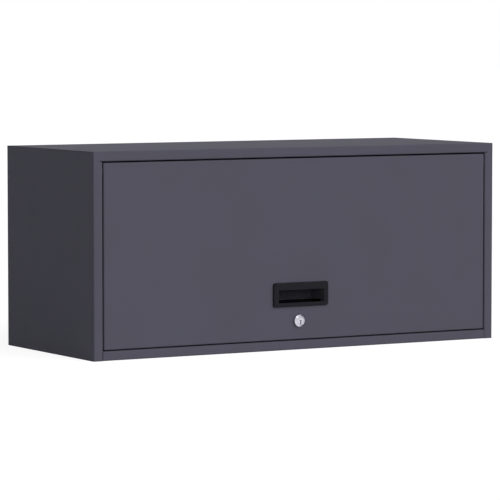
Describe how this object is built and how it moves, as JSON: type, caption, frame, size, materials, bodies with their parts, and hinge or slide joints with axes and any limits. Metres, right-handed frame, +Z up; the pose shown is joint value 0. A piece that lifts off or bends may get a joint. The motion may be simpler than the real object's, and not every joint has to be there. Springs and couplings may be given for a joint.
{
  "type": "garage wall cabinet",
  "caption": "Sheet-steel wall cabinet with a flip-up door on end pins, held by gas struts, with a recessed pull and a cam lock.",
  "frame": {"origin": "centre of the underside of the whole object's bounding box", "axes": "+X to the right seen from the front, +Y into the wall, +Z up; the door faces -Y"},
  "size_m": [0.8, 0.3308, 0.348],
  "materials": {
    "powder_coated_steel": "fine-textured satin powder coat, blue-grey",
    "zinc_plated_steel": "bright zinc plate",
    "nickel_plated_brass": "satin-bright nickel plate",
    "chromed_steel": "ground and hard chromed",
    "black_moulded_plastic": "fine matt moulded texture",
    "black_nylon": "smooth moulded",
    "black_rubber": "matt",
    "black_enamelled_tube": "gloss black enamel"
  },
  "bodies": {
    "cabinet": {"top_panel": "powder_coated_steel", "bottom_panel": "powder_coated_steel", "left_side_panel": "powder_coated_steel", "right_side_panel": "powder_coated_steel", "back_panel": "powder_coated_steel", "upper_hanging_rail": "powder_coated_steel", "lower_hanging_rail": "powder_coated_steel", "strike_plate": "zinc_plated_steel", "left_door_bumper": "black_rubber", "right_door_bumper": "black_rubber", "left_hinge_bracket": "zinc_plated_steel", "right_hinge_bracket": "zinc_plated_steel", "left_hinge_bush": "black_nylon", "right_hinge_bush": "black_nylon", "left_cabinet_strut_bracket": "zinc_plated_steel", "right_cabinet_strut_bracket": "zinc_plated_steel", "left_cabinet_ball_stud": "zinc_plated_steel", "right_cabinet_ball_stud": "zinc_plated_steel"},
    "door": {"door_skin": "powder_coated_steel", "door_liner": "powder_coated_steel", "left_door_stiffener": "powder_coated_steel", "right_door_stiffener": "powder_coated_steel", "left_hinge_plate": "zinc_plated_steel", "right_hinge_plate": "zinc_plated_steel", "left_hinge_pin": "zinc_plated_steel", "right_hinge_pin": "zinc_plated_steel", "pull_handle": "black_moulded_plastic", "lock_barrel": "nickel_plated_brass", "lock_nut": "zinc_plated_steel", "left_door_strut_bracket": "zinc_plated_steel", "right_door_strut_bracket": "zinc_plated_steel", "left_door_stud": "zinc_plated_steel", "right_door_stud": "zinc_plated_steel", "left_upper_bracket_screw": "zinc_plated_steel", "left_lower_bracket_screw": "zinc_plated_steel", "right_upper_bracket_screw": "zinc_plated_steel", "right_lower_bracket_screw": "zinc_plated_steel"},
    "lock": {"lock_plug": "nickel_plated_brass", "lock_cam": "zinc_plated_steel", "cam_screw": "zinc_plated_steel"},
    "left_strut_tube": {"left_tube_socket": "black_moulded_plastic", "left_strut_tube": "black_enamelled_tube", "left_strut_gland": "black_moulded_plastic"},
    "left_strut_rod": {"left_strut_rod": "chromed_steel", "left_rod_socket": "black_moulded_plastic"},
    "right_strut_tube": {"right_tube_socket": "black_moulded_plastic", "right_strut_tube": "black_enamelled_tube", "right_strut_gland": "black_moulded_plastic"},
    "right_strut_rod": {"right_strut_rod": "chromed_steel", "right_rod_socket": "black_moulded_plastic"}
  },
  "joints": [
    {"name": "door_hinge", "type": "hinge", "parent": "cabinet", "child": "door", "pos_m": [0, -0.1506, 0.3151], "axis": [-1, 0, 0], "range_deg": [0, 85]},
    {"name": "lock_turn", "type": "hinge", "parent": "door", "child": "lock", "pos_m": [-0.0024, -0.1596, 0.05], "axis": [0, 1, 0], "range_deg": [0, 90]},
    {"name": "left_strut_turn", "type": "hinge", "parent": "cabinet", "child": "left_strut_tube", "pos_m": [-0.372, -0.1246, 0.2941], "axis": [-1, 0, 0], "range_deg": [0, 84.5]},
    {"name": "left_strut_slide", "type": "slide", "parent": "left_strut_tube", "child": "left_strut_rod", "axis": [0, 0, -1], "range_m": [0, 0.0453]},
    {"name": "right_strut_turn", "type": "hinge", "parent": "cabinet", "child": "right_strut_tube", "pos_m": [0.372, -0.1246, 0.2941], "axis": [-1, 0, 0], "range_deg": [0, 84.5]},
    {"name": "right_strut_slide", "type": "slide", "parent": "right_strut_tube", "child": "right_strut_rod", "axis": [0, 0, -1], "range_m": [0, 0.0453]}
  ],
  "couplings": [
    {"joint": "left_strut_turn", "follows": "door_hinge", "ratio": 0.99093},
    {"joint": "left_strut_slide", "follows": "door_hinge", "m_per_rad": 0.030394},
    {"joint": "right_strut_turn", "follows": "door_hinge", "ratio": 0.99093},
    {"joint": "right_strut_slide", "follows": "door_hinge", "m_per_rad": 0.030394}
  ]
}
